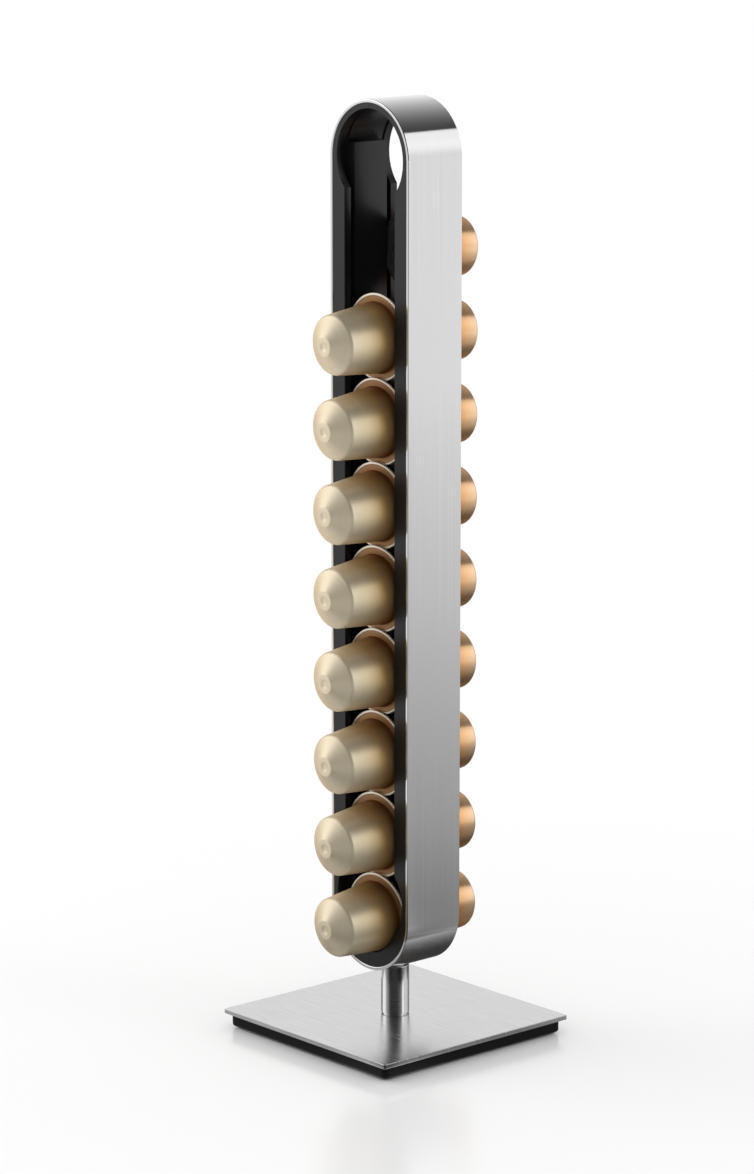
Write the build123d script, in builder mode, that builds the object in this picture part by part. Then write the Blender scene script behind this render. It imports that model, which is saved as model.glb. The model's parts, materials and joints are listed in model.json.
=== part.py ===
"""Coffee capsule holder: an obround steel tower with two capsule tracks, turning on a post over a base.

Millimetres. The origin is the middle of the underside, +Z is up and the front of the tower faces -Y.
"""
import os
from math import asin, cos, sin, sqrt
from build123d import *

os.makedirs("parts", exist_ok=True)

# Capsule
flange_diameter = 37.0
rim_overhang = 3.5
flange_thickness = 0.9
lid_thickness = 0.2
lid_inset = 0.3
lid_crown = 0.5
body_length = 24.2
body_taper = 2.4
shoulder_round = 1.6
nose_length = 4.9
nose_diameter = 8.2
dimple_diameter = 4.4
dimple_depth = 0.5
cup_wall = 0.7
rim_overlap = 1.7
rim_gap = 0.25
front_count = 8
rear_count = 9

# Tracks
track_count = 10
hole_clearance = 4.0
slot_clearance = 1.2
track_plate = 3.5
rim_play = 0.14
groove_wall = 1.6
guide_depth = 17.7
guide_rise = 5.0
exit_lift = 8.0
top_drop = 3.4
seat_drop = 1.3
rest_clearance = 0.3
liner_wall = 2.2
liner_fit = 0.1
face_recess = 0.3
seam_gap = 0.1
peg_diameter = 1.6
peg_length = 3.0
peg_fit = 0.05

# Band
band_thickness = 1.5
band_edge = 0.4

# Base
base_side = 104.0
plate_thickness = 2.0
plate_corner = 0.8
tray_inset = 1.9
tray_corner = 2.5
tray_edge = 1.6
tray_wall = 2.0
tray_floor = 1.4
ballast_gap = 0.4
boss_wall = 3.0
boss_web = 1.6
well_gap = 0.4
foot_diameter = 10.0
foot_recess = 0.7
foot_stand = 0.6
foot_inset = 14.0

# Post and the bolt under it
post_diameter = 12.0
post_length = 21.6
post_edge = 0.4
base_bolt_diameter = 6.0
base_bolt_reach = 8.0
base_head_diameter = 10.5
base_head_height = 3.0
base_socket = 4.0
base_washer_diameter = 13.0
base_washer_thickness = 0.8
head_sink = 0.8
socket_depth = 1.6
bolt_fit = 0.05

# Swivel
swivel_gap = 0.3
shoulder_bolt_diameter = 5.0
swivel_thread_diameter = 4.0
swivel_thread_reach = 6.5
swivel_head_diameter = 8.5
swivel_head_height = 3.0
swivel_socket = 3.0
swivel_washer_diameter = 9.0
swivel_washer_thickness = 0.6
bush_wall = 1.5
swivel_fit = 0.05
axial_play = 0.05
saddle_width = 20.0
saddle_gap = 0.6
saddle_floor = 2.5
saddle_cover = 0.4
saddle_fit = 0.05
screw_diameter = 2.0
screw_head_diameter = 3.8
screw_reach = 4.0
screw_edge = 0.4

# Sizes that follow: each rim leans just enough to pass behind the one above it
body_diameter = flange_diameter - 2 * rim_overhang
rim_thickness = flange_thickness + lid_thickness
capsule_height = rim_thickness + body_length + nose_length
pitch = flange_diameter - rim_overlap
droop = asin((rim_thickness + rim_gap) / pitch)
slot_width = body_diameter + slot_clearance
rim_in_groove = sqrt(flange_diameter ** 2 - slot_width ** 2)
groove_width = rim_thickness + rim_in_groove * sin(droop) + 2 * rim_play
hole_radius = (flange_diameter + hole_clearance) / 2
liner_radius = hole_radius + liner_wall
groove_radius = liner_radius - groove_wall
band_inner_radius = liner_radius + liner_fit
tower_radius = band_inner_radius + band_thickness
guide_front = guide_depth / 2
groove_front = guide_front + groove_width
liner_front = groove_front + track_plate
tower_front = liner_front + face_recess
rim_middle = guide_front + groove_width / 2

# Heights, from the feet up
tray_height = head_sink + base_head_height + base_washer_thickness + boss_web - foot_stand
plate_bottom = foot_stand + tray_height
plate_top = plate_bottom + plate_thickness
post_top = plate_top + post_length
tower_bottom = post_top + swivel_gap
lower_centre = tower_bottom + tower_radius
lowest_seat = lower_centre - seat_drop
slot_bottom = lowest_seat - body_diameter / 2 - rest_clearance
slot_foot = slot_bottom + slot_width / 2
upper_centre = lowest_seat + (track_count - 1) * pitch + top_drop
exit_centre = lowest_seat + exit_lift
guide_top = upper_centre + guide_rise
arc_span = upper_centre - lower_centre
tower_middle = (upper_centre + lower_centre) / 2
tower_top = upper_centre + tower_radius
front_travel = upper_centre - lowest_seat - (front_count - 1) * pitch
rear_travel = upper_centre - lowest_seat - (rear_count - 1) * pitch
print(f"tower {2 * tower_radius:.3f} x {2 * tower_front:.3f}, from {tower_bottom:.3f} to {tower_top:.3f}")
print(f"plate top {plate_top:.3f}, lowest seat {lowest_seat:.3f}")
print(f"pitch {pitch:.3f}, groove {groove_width:.3f}")
print(f"upper hole {upper_centre:.3f}, exit hole {exit_centre:.3f}")
print(f"front travel {front_travel:.3f}, rear travel {rear_travel:.3f}")

# Square sheet that the post stands on
with BuildPart() as base_plate:
    with BuildSketch(Plane.XY.offset(plate_bottom)):
        RectangleRounded(base_side, base_side, plate_corner)
        Circle(base_bolt_diameter / 2 + bolt_fit, mode=Mode.SUBTRACT)
    extrude(amount=plate_thickness)
base_plate.part.label = "base_plate"
export_step(base_plate.part, "parts/base_plate.step")

# Tray under the sheet, with a hollow for the ballast and a central boss for the bolt
tray_side = base_side - 2 * tray_inset
hollow_side = tray_side - 2 * tray_wall
well_radius = base_washer_diameter / 2 + well_gap
boss_radius = well_radius + boss_wall
well_roof = plate_bottom - boss_web
foot_spacing = tray_side - 2 * foot_inset
with BuildPart() as base_tray:
    with BuildSketch(Plane.XY.offset(foot_stand)):
        RectangleRounded(tray_side, tray_side, tray_corner)
    extrude(amount=tray_height)
    fillet(base_tray.faces().sort_by(Axis.Z)[0].edges(), tray_edge)
    with BuildSketch(Plane.XY.offset(foot_stand + tray_floor)):
        Rectangle(hollow_side, hollow_side)
        Circle(boss_radius, mode=Mode.SUBTRACT)
    extrude(amount=tray_height - tray_floor, mode=Mode.SUBTRACT)
    with BuildSketch(Plane.XY.offset(foot_stand)):
        Circle(well_radius)
    extrude(amount=well_roof - foot_stand, mode=Mode.SUBTRACT)
    with BuildSketch(Plane.XY.offset(well_roof)):
        Circle(base_bolt_diameter / 2 + bolt_fit)
    extrude(amount=boss_web, mode=Mode.SUBTRACT)
    with BuildSketch(Plane.XY.offset(foot_stand)):
        with GridLocations(foot_spacing, foot_spacing, 2, 2):
            Circle(foot_diameter / 2)
    extrude(amount=foot_recess, mode=Mode.SUBTRACT)
base_tray.part.label = "base_tray"
export_step(base_tray.part, "parts/base_tray.step")

# Steel slab that fills the tray's hollow
ballast_side = hollow_side - 2 * ballast_gap
with BuildPart() as ballast_plate:
    with BuildSketch(Plane.XY.offset(foot_stand + tray_floor)):
        Rectangle(ballast_side, ballast_side)
        Circle(boss_radius + ballast_gap, mode=Mode.SUBTRACT)
    extrude(amount=tray_height - tray_floor)
ballast_plate.part.label = "ballast_plate"
export_step(ballast_plate.part, "parts/ballast_plate.step")

# Four soft feet in their recesses
with BuildPart() as rubber_feet:
    with BuildSketch(Plane.XY):
        with GridLocations(foot_spacing, foot_spacing, 2, 2):
            Circle(foot_diameter / 2)
    extrude(amount=foot_stand + foot_recess)
rubber_feet.part.label = "rubber_feet"
export_step(rubber_feet.part, "parts/rubber_feet.step")

# Washer in the roof of the tray's well
with BuildPart() as base_washer:
    with BuildSketch(Plane.XY.offset(well_roof - base_washer_thickness)):
        Circle(base_washer_diameter / 2)
        Circle(base_bolt_diameter / 2 + bolt_fit, mode=Mode.SUBTRACT)
    extrude(amount=base_washer_thickness)
base_washer.part.label = "base_washer"
export_step(base_washer.part, "parts/base_washer.step")

# Bolt from below into the post
with BuildPart() as base_bolt:
    with BuildSketch(Plane.XY.offset(head_sink)):
        Circle(base_head_diameter / 2)
    extrude(amount=base_head_height)
    with BuildSketch(Plane.XY.offset(head_sink + base_head_height)):
        Circle(base_bolt_diameter / 2)
    extrude(amount=plate_top + base_bolt_reach - head_sink - base_head_height)
    with BuildSketch(Plane.XY.offset(head_sink)):
        RegularPolygon(base_socket / 2, 6, major_radius=False)
    extrude(amount=socket_depth, mode=Mode.SUBTRACT)
base_bolt.part.label = "base_bolt"
export_step(base_bolt.part, "parts/base_bolt.step")

# Round post, drilled at both ends
with BuildPart() as post:
    with BuildSketch(Plane.XY.offset(plate_top)):
        Circle(post_diameter / 2)
    extrude(amount=post_length)
    chamfer(post.faces().sort_by(Axis.Z)[-1].edges(), post_edge)
    with BuildSketch(Plane.XY.offset(plate_top)):
        Circle(base_bolt_diameter / 2 + bolt_fit)
    extrude(amount=base_bolt_reach + bolt_fit, mode=Mode.SUBTRACT)
    with BuildSketch(Plane.XY.offset(post_top)):
        Circle(swivel_thread_diameter / 2 + bolt_fit)
    extrude(amount=-(swivel_thread_reach + bolt_fit), mode=Mode.SUBTRACT)
post.part.label = "post"
export_step(post.part, "parts/post.step")

# Obround loop of strip, with a hole for the bush and two sunk screw holes in its bottom
bush_radius = shoulder_bolt_diameter / 2 + swivel_fit + bush_wall
screw_place = bush_radius + screw_edge + screw_head_diameter / 2
with BuildPart() as steel_band:
    with BuildSketch(Plane.XZ):
        with Locations((0, tower_middle)):
            SlotCenterToCenter(arc_span, 2 * tower_radius, rotation=90)
            SlotCenterToCenter(arc_span, 2 * band_inner_radius, rotation=90, mode=Mode.SUBTRACT)
    extrude(amount=tower_front, both=True)
    fillet(steel_band.edges().group_by(Axis.Y)[0], band_edge)
    fillet(steel_band.edges().group_by(Axis.Y)[-1], band_edge)
    with BuildSketch(Plane.XY.offset(tower_bottom)):
        Circle(bush_radius + saddle_fit)
    extrude(amount=2 * band_thickness, mode=Mode.SUBTRACT)
    for side in (-1, 1):
        with Locations(Plane(origin=(0, side * screw_place, tower_bottom), z_dir=(0, 0, -1))):
            CounterSinkHole(
                screw_diameter / 2 + saddle_fit,
                screw_head_diameter / 2 + saddle_fit,
                2 * band_thickness,
                counter_sink_angle=90,
            )
steel_band.part.label = "steel_band"
export_step(steel_band.part, "parts/steel_band.step")

# Left and right halves of the liner, cut from one obround block along the middle
peg_place = (groove_front + liner_front) / 2
peg_height = (slot_bottom + lower_centre - liner_radius) / 2
for name, side in (("left_track_liner", -1), ("right_track_liner", 1)):
    with BuildPart() as liner:
        with BuildSketch(Plane.XZ):
            with Locations((0, tower_middle)):
                SlotCenterToCenter(arc_span, 2 * liner_radius, rotation=90)
        extrude(amount=liner_front, both=True)
        # Slot through both face plates and between the guides, ending in a lip that the lowest body rests on
        with BuildSketch(Plane.XZ):
            with Locations((0, (slot_foot + upper_centre) / 2)):
                SlotCenterToCenter(upper_centre - slot_foot, slot_width, rotation=90)
        extrude(amount=liner_front, both=True, mode=Mode.SUBTRACT)
        for face in (-1, 1):
            # Round holes where capsules go in at the top and come out at the bottom
            with BuildSketch(Plane.XZ.offset(face * groove_front)):
                with Locations((0, upper_centre), (0, exit_centre)):
                    Circle(hole_radius)
            extrude(amount=face * track_plate, mode=Mode.SUBTRACT)
            # Groove for the rims, all the way round
            with BuildSketch(Plane.XZ.offset(face * guide_front)):
                with Locations((0, tower_middle)):
                    SlotCenterToCenter(arc_span, 2 * groove_radius, rotation=90)
            extrude(amount=face * groove_width, mode=Mode.SUBTRACT)
        # Space between the grooves, narrowed by the two guides up to a ledge in the upper hole
        with BuildSketch(Plane.XZ):
            with Locations((0, tower_middle)):
                SlotCenterToCenter(arc_span, 2 * hole_radius, rotation=90)
            with Locations((-slot_width / 2, guide_top)):
                Rectangle(hole_radius, guide_top, align=(Align.MAX, Align.MAX), mode=Mode.SUBTRACT)
            with Locations((slot_width / 2, guide_top)):
                Rectangle(hole_radius, guide_top, align=(Align.MIN, Align.MAX), mode=Mode.SUBTRACT)
        extrude(amount=guide_front, both=True, mode=Mode.SUBTRACT)
        # Holes for the bush and the screws in the bottom wall
        with BuildSketch(Plane.XY.offset(tower_bottom)):
            Circle(bush_radius + saddle_fit)
            with Locations((0, -screw_place), (0, screw_place)):
                Circle(screw_diameter / 2 + saddle_fit)
        extrude(amount=lower_centre - tower_bottom, mode=Mode.SUBTRACT)
        # One side of the seam is kept
        with Locations((side * (seam_gap / 2 - tower_radius), 0, tower_middle)):
            Box(2 * tower_radius, 2 * tower_front, tower_top, mode=Mode.SUBTRACT)
        # Pegs on the left half reach across the seam into sockets in the right half
        with BuildSketch(Plane.YZ.offset(-peg_length)):
            with Locations((-peg_place, peg_height), (peg_place, peg_height)):
                Circle(peg_diameter / 2 if side < 0 else peg_diameter / 2 + peg_fit)
        extrude(amount=2 * peg_length + peg_fit * (1 + side), mode=Mode.ADD if side < 0 else Mode.SUBTRACT)
    liner.part.label = name
    export_step(liner.part, "parts/" + name + ".step")

# Block in the bottom of the loop that carries the bush
saddle_radius = hole_radius - saddle_fit
saddle_front = guide_front - saddle_gap
bush_top = lower_centre - hole_radius + saddle_floor
washer_top = bush_top + swivel_washer_thickness
head_bottom = washer_top + axial_play
saddle_top = head_bottom + swivel_head_height + saddle_cover
screw_top = lower_centre - hole_radius + screw_reach
with BuildPart() as pivot_saddle:
    with BuildSketch(Plane.XZ):
        with Locations((0, lower_centre)):
            Circle(saddle_radius)
        with Locations((0, saddle_top)):
            Rectangle(saddle_width, 2 * saddle_radius, align=(Align.CENTER, Align.MAX), mode=Mode.INTERSECT)
    extrude(amount=saddle_front, both=True)
    with BuildSketch(Plane.XY.offset(bush_top)):
        Circle(swivel_washer_diameter / 2 + saddle_fit)
    extrude(amount=saddle_top - bush_top, mode=Mode.SUBTRACT)
    with BuildSketch(Plane.XY.offset(tower_bottom)):
        Circle(bush_radius + saddle_fit)
    extrude(amount=bush_top - tower_bottom, mode=Mode.SUBTRACT)
    with BuildSketch(Plane.XY.offset(tower_bottom)):
        with Locations((0, -screw_place), (0, screw_place)):
            Circle(screw_diameter / 2 + saddle_fit)
    extrude(amount=screw_top + saddle_fit - tower_bottom, mode=Mode.SUBTRACT)
pivot_saddle.part.label = "pivot_saddle"
export_step(pivot_saddle.part, "parts/pivot_saddle.step")

# Two sunk screws that hold band, liners and saddle together
screw_head_height = (screw_head_diameter - screw_diameter) / 2
with BuildPart() as saddle_screws:
    for side in (-1, 1):
        with BuildSketch(Plane.XZ.offset(side * screw_place)):
            with BuildLine():
                Polyline(
                    (0, tower_bottom),
                    (screw_head_diameter / 2, tower_bottom),
                    (screw_diameter / 2, tower_bottom + screw_head_height),
                    (screw_diameter / 2, screw_top),
                    (0, screw_top),
                    close=True,
                )
            make_face()
        revolve(axis=Axis((0, -side * screw_place, 0), (0, 0, 1)))
saddle_screws.part.label = "saddle_screws"
export_step(saddle_screws.part, "parts/saddle_screws.step")

# Plain bush that turns on the shoulder of the bolt and rests on the post
with BuildPart() as swivel_bush:
    with BuildSketch(Plane.XY.offset(post_top)):
        Circle(bush_radius)
        Circle(shoulder_bolt_diameter / 2 + swivel_fit, mode=Mode.SUBTRACT)
    extrude(amount=bush_top - post_top)
swivel_bush.part.label = "swivel_bush"
export_step(swivel_bush.part, "parts/swivel_bush.step")

# Washer between the bush and the bolt's head
with BuildPart() as swivel_washer:
    with BuildSketch(Plane.XY.offset(bush_top)):
        Circle(swivel_washer_diameter / 2)
        Circle(shoulder_bolt_diameter / 2 + swivel_fit, mode=Mode.SUBTRACT)
    extrude(amount=swivel_washer_thickness)
swivel_washer.part.label = "swivel_washer"
export_step(swivel_washer.part, "parts/swivel_washer.step")

# Shoulder bolt in the top of the post
with BuildPart() as swivel_bolt:
    with BuildSketch(Plane.XY.offset(post_top - swivel_thread_reach)):
        Circle(swivel_thread_diameter / 2)
    extrude(amount=swivel_thread_reach)
    with BuildSketch(Plane.XY.offset(post_top)):
        Circle(shoulder_bolt_diameter / 2)
    extrude(amount=head_bottom - post_top)
    with BuildSketch(Plane.XY.offset(head_bottom)):
        Circle(swivel_head_diameter / 2)
    extrude(amount=swivel_head_height)
    with BuildSketch(Plane.XY.offset(head_bottom + swivel_head_height)):
        RegularPolygon(swivel_socket / 2, 6, major_radius=False)
    extrude(amount=-socket_depth, mode=Mode.SUBTRACT)
swivel_bolt.part.label = "swivel_bolt"
export_step(swivel_bolt.part, "parts/swivel_bolt.step")

# Capsules, each a thin cup with a rim and a crowned lid behind it, nose a little down
body_radius = body_diameter / 2
shoulder_radius = body_radius - body_taper
shoulder_height = rim_thickness + body_length
mouth_radius = body_radius - cup_wall
lid_radius = flange_diameter / 2 - lid_inset
crown_radius = (mouth_radius ** 2 + lid_crown ** 2) / (2 * lid_crown)
for column, facing, count in (("front", -1, front_count), ("rear", 1, rear_count)):
    nose = Vector(0, facing * cos(droop), -sin(droop))
    for place in range(count):
        name = column + "_capsule_" + str(place + 1)
        seat = Vector(0, facing * rim_middle, lowest_seat + place * pitch)
        lid_point = seat - nose * (rim_thickness / 2)
        section = Plane(origin=lid_point, x_dir=(1, 0, 0), z_dir=Vector(1, 0, 0).cross(nose))
        turning_axis = Axis(lid_point, nose)
        with BuildPart() as cup:
            with BuildSketch(section) as cup_section:
                with BuildLine():
                    Polyline(
                        (0, lid_thickness),
                        (flange_diameter / 2, lid_thickness),
                        (flange_diameter / 2, rim_thickness),
                        (body_radius, rim_thickness),
                        (shoulder_radius, shoulder_height),
                        (nose_diameter / 2, capsule_height),
                        (dimple_diameter / 2, capsule_height),
                        (0, capsule_height - dimple_depth),
                        close=True,
                    )
                make_face()
                corner = cup_section.vertices().sort_by_distance((shoulder_radius, shoulder_height))[0]
                fillet(corner, shoulder_round)
                with BuildLine():
                    Polyline(
                        (0, lid_thickness),
                        (mouth_radius, lid_thickness),
                        (shoulder_radius - cup_wall, shoulder_height - cup_wall),
                        (nose_diameter / 2, capsule_height - dimple_depth - cup_wall),
                        (0, capsule_height - dimple_depth - cup_wall),
                        close=True,
                    )
                make_face(mode=Mode.SUBTRACT)
            revolve(axis=turning_axis)
        cup.part.label = name + "_cup"
        export_step(cup.part, "parts/" + name + "_cup.step")

        with BuildPart() as lid:
            with BuildSketch(section):
                with BuildLine():
                    RadiusArc((0, -lid_crown), (mouth_radius, 0), -crown_radius)
                    Polyline(
                        (mouth_radius, 0),
                        (lid_radius, 0),
                        (lid_radius, lid_thickness),
                        (0, lid_thickness),
                        (0, -lid_crown),
                    )
                make_face()
            revolve(axis=turning_axis)
        lid.part.label = name + "_lid"
        export_step(lid.part, "parts/" + name + "_lid.step")
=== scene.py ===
import json
import math

import bmesh
import bpy
from mathutils import Matrix, Vector

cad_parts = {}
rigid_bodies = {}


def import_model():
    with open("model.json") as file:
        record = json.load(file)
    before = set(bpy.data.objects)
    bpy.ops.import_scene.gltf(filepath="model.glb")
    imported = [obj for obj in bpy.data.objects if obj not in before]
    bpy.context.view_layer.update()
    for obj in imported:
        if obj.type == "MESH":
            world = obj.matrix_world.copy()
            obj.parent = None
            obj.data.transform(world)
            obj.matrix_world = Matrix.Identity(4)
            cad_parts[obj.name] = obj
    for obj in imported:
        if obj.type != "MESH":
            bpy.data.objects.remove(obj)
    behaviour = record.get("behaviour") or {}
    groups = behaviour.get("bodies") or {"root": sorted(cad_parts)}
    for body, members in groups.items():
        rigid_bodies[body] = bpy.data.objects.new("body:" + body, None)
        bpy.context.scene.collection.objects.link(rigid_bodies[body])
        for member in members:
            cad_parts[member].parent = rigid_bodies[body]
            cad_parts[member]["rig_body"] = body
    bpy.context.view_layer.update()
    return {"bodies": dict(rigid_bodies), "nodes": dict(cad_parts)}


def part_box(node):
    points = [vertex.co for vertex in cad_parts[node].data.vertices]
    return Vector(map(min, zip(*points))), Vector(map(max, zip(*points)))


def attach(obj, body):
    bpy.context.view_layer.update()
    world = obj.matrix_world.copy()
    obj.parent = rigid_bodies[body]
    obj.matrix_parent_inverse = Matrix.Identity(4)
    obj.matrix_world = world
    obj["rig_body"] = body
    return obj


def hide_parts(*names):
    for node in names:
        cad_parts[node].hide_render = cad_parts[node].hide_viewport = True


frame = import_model()
scene = bpy.context.scene
mm = 0.001
mergeGap = 0.002 * mm  # points closer than this become one
sharpAngle = math.radians(38)  # turned and bent pieces keep a hard edge where they turn by more
grainSpan = (0.3, 0.7)  # where most of a noise lies


def toLinear(hexText):  # sRGB hex to the linear colour that shaders take
    parts = [int(hexText[i:i + 2], 16) / 255 for i in (1, 3, 5)]
    return [p / 12.92 if p <= 0.04045 else ((p + 0.055) / 1.055) ** 2.4 for p in parts] + [1.0]


def addNode(tree, kind, inputs=None, **settings):  # settings first, then each input is linked or set
    node = tree.nodes.new(kind)
    for name, value in settings.items():
        setattr(node, name, value)
    for key, value in (inputs or {}).items():
        if isinstance(value, bpy.types.NodeSocket):
            tree.links.new(value, node.inputs[key])
        else:
            node.inputs[key].default_value = value
    return node


def newFinish(name, sockets):  # a material whose even values sit on the shader's own sockets
    finish = bpy.data.materials.new(name)
    finish.use_nodes = True
    shader = finish.node_tree.nodes["Principled BSDF"]
    for socket, value in sockets.items():
        shader.inputs[socket].default_value = value
    return finish, finish.node_tree, shader.inputs


def dress(tree, shader, grain, look):  # one grain drives roughness, and colour and relief where wanted
    span = look.get("span", grainSpan)
    sheen = addNode(tree, "ShaderNodeMapRange", {
        "Value": grain, "From Min": span[0], "From Max": span[1],
        "To Min": look["roughness"][0], "To Max": look["roughness"][1],
    })
    tree.links.new(sheen.outputs["Result"], shader["Roughness"])
    if "bump" in look:
        relief = addNode(tree, "ShaderNodeBump", {
            "Height": grain, "Strength": look["bump"], "Distance": look["bumpDepth"] * mm,
        })
        tree.links.new(relief.outputs["Normal"], shader["Normal"])
    if "pale" in look:
        if "toneSpan" in look:
            grain = addNode(tree, "ShaderNodeMapRange", {
                "Value": grain, "From Min": look["toneSpan"][0], "From Max": look["toneSpan"][1],
            }).outputs["Result"]
        tone = addNode(tree, "ShaderNodeMix", {
            "Factor": grain, 6: toLinear(look["dark"]), 7: toLinear(look["pale"]),
        }, data_type="RGBA")
        tree.links.new(tone.outputs[2], shader["Base Color"])


def fillRamp(ramp, stops):  # stops as the place from 0 to 1 and the linear colour
    for i, (place, colour) in enumerate(stops):
        stop = ramp.elements[i] if i < 2 else ramp.elements.new(place)
        stop.position = place
        stop.color = colour


def addObject(name, mesh):
    piece = bpy.data.objects.new(name, mesh)
    scene.collection.objects.link(piece)
    return piece


def standFor(piece, node):  # the piece rides where its CAD node does and hides it
    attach(piece, frame["nodes"][node]["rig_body"])
    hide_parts(node)


# Finishes of the steel: scratches in mm, drawn wider than real ones so that they show

brushedSteels = {
    # Stainless strip, brushed along its length: reflections stay sharp along the strip and smear across it
    "brushedStainlessStrip": {
        "pale": "#DEDEDE", "dark": "#D4D4D5", "roughness": (0.07, 0.13), "bump": 0.02, "bumpDepth": 0.02,
        "scratch": (0.35, 140.0), "sockets": {"Metallic": 1.0, "Anisotropic": 0.8},
    },
    # Stainless sheet, brushed one way across the plate: short broken lines and a soft reflection of the post
    "brushedStainlessSheet": {
        "pale": "#DCDCDC", "dark": "#C8C8C9", "toneSpan": (0.33, 0.67),
        "roughness": (0.18, 0.28), "bump": 0.06, "bumpDepth": 0.02,
        "scratch": (20.0, 0.4),
        "sockets": {"Metallic": 1.0, "Anisotropic": 0.4, "Anisotropic Rotation": 0.25},
    },
}
steelFinishes = {}
for name, look in brushedSteels.items():
    steelFinishes[name], tree, shader = newFinish(name, look["sockets"])
    uv = addNode(tree, "ShaderNodeUVMap", uv_map="UVMap")
    tangent = addNode(tree, "ShaderNodeTangent", direction_type="UV_MAP", uv_map="UVMap")
    stretched = addNode(tree, "ShaderNodeVectorMath", {
        0: uv.outputs["UV"], 1: [1 / (size * mm) for size in look["scratch"]] + [1.0],
    }, operation="MULTIPLY")
    scratches = addNode(tree, "ShaderNodeTexNoise", {
        "Vector": stretched.outputs["Vector"], "Scale": 1.0, "Detail": 4.0,
    })
    dress(tree, shader, scratches.outputs["Fac"], look)
    tree.links.new(tangent.outputs["Tangent"], shader["Tangent"])

postSteel = {
    "pale": "#DDDDDD", "dark": "#C9C9CA", "roughness": (0.10, 0.18),
    "streak": 25.0, "lineSpacing": 0.35,  # mm
}
# Stainless rod, turned and polished: near mirror, with faint rings from the lathe
postFinish, tree, shader = newFinish("turnedStainlessRod", {"Metallic": 1.0})
place = addNode(tree, "ShaderNodeAttribute", attribute_name="turnedPlace")
stretched = addNode(tree, "ShaderNodeVectorMath", {
    0: place.outputs["Vector"],
    1: [1 / (postSteel[size] * mm) for size in ("streak", "streak", "lineSpacing")],
}, operation="MULTIPLY")
rings = addNode(tree, "ShaderNodeTexNoise", {
    "Vector": stretched.outputs["Vector"], "Scale": 1.0, "Detail": 3.0,
})
dress(tree, shader, rings.outputs["Fac"], postSteel)

# Finishes of the capsules: coat as weight, roughness and IOR, tones with painted highlight and painted shade
# by the way along the outline in mm

cupMetals = {
    "goldAnodisedAluminium": {
        "slot": "gold_aluminium", "metallic": 0.75, "roughness": (0.43, 0.51),
        "coat": (0.2, 0.3, 1.5), "glancing": "#C89A66",
        "tonesAndPaintedLight": [  # nose, body, corner at the rim, rim, curled edge; painted highlight at the nose and curled edge, painted shade at the rim corner
            (14, "#ECDFC4"), (22, "#E8D6B0"), (30, "#D2AC74"),
            (37, "#764A20"), (40.6, "#A8835C"), (41.1, "#EEE7D8"),
        ],
    },
    "copperAnodisedAluminium": {
        "slot": "copper_aluminium", "metallic": 1.0, "roughness": (0.24, 0.32),
        "coat": (0.25, 0.1, 1.5), "glancing": "#A8703E",
        "tonesAndPaintedLight": [
            (12, "#EFD0B0"), (19, "#E9BE92"), (26, "#D99C5E"),
            (37, "#A8662E"), (40.6, "#B4753C"), (41.1, "#EED6B8"),
        ],
    },
}
cupGrain = {
    "lineSpacing": 0.3, "streak": 25.0, "outline": 45.0, "bumpDepth": 0.02,  # mm
    "lineDepth": 0.1, "bump": 0.03, "anisotropic": 0.3,
}
cupFinishes = {}
for name, metal in cupMetals.items():
    # Deep-drawn aluminium, anodised and lacquered over fine drawing lines: satin, with painted shade
    # darkening it to brown towards the rim and painted highlights at the nose and curled edge
    cupFinishes[name], tree, shader = newFinish(name, {
        "Metallic": metal["metallic"], "Anisotropic": cupGrain["anisotropic"],
        "Specular Tint": toLinear(metal["glancing"]),
        "Coat Weight": metal["coat"][0], "Coat Roughness": metal["coat"][1], "Coat IOR": metal["coat"][2],
    })
    place = addNode(tree, "ShaderNodeAttribute", attribute_name="turnedPlace")
    tangent = addNode(tree, "ShaderNodeTangent", direction_type="UV_MAP", uv_map="UVMap")
    stretched = addNode(tree, "ShaderNodeVectorMath", {
        0: place.outputs["Vector"],
        1: [1 / (cupGrain[size] * mm) for size in ("streak", "streak", "lineSpacing")],
    }, operation="MULTIPLY")
    lines = addNode(tree, "ShaderNodeTexNoise", {
        "Vector": stretched.outputs["Vector"], "Scale": 1.0, "Detail": 4.0,
    })
    dress(tree, shader, lines.outputs["Fac"], metal | cupGrain)
    apart = addNode(tree, "ShaderNodeSeparateXYZ", {0: place.outputs["Vector"]})
    share = addNode(tree, "ShaderNodeMath", {
        0: apart.outputs["Z"], 1: cupGrain["outline"] * mm,
    }, operation="DIVIDE")
    # the metal's colour with painted highlight at the nose and curled edge and painted shade at the rim
    # corner, along the outline
    tonesAndPaintedLight = addNode(tree, "ShaderNodeValToRGB", {0: share.outputs[0]})
    fillRamp(tonesAndPaintedLight.color_ramp, [
        (along / cupGrain["outline"], toLinear(colour)) for along, colour in metal["tonesAndPaintedLight"]
    ])
    lineShade = addNode(tree, "ShaderNodeMapRange", {
        "Value": lines.outputs["Fac"], "From Min": grainSpan[0], "From Max": grainSpan[1],
        "To Min": 1 - cupGrain["lineDepth"], "To Max": 1.0,
    })
    tone = addNode(tree, "ShaderNodeVectorMath", {
        0: tonesAndPaintedLight.outputs["Color"], "Scale": lineShade.outputs["Result"],
    }, operation="SCALE")
    tree.links.new(tone.outputs["Vector"], shader["Base Color"])
    tree.links.new(tangent.outputs["Tangent"], shader["Tangent"])

lidFoil = {
    "pale": "#E3E1DC", "dark": "#C9C6BF", "roughness": (0.24, 0.4), "span": (0.0, 1.0),
    "dent": 2.5, "bump": 0.25, "bumpDepth": 0.2,  # mm between dents, and how deep they look
}
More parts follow.
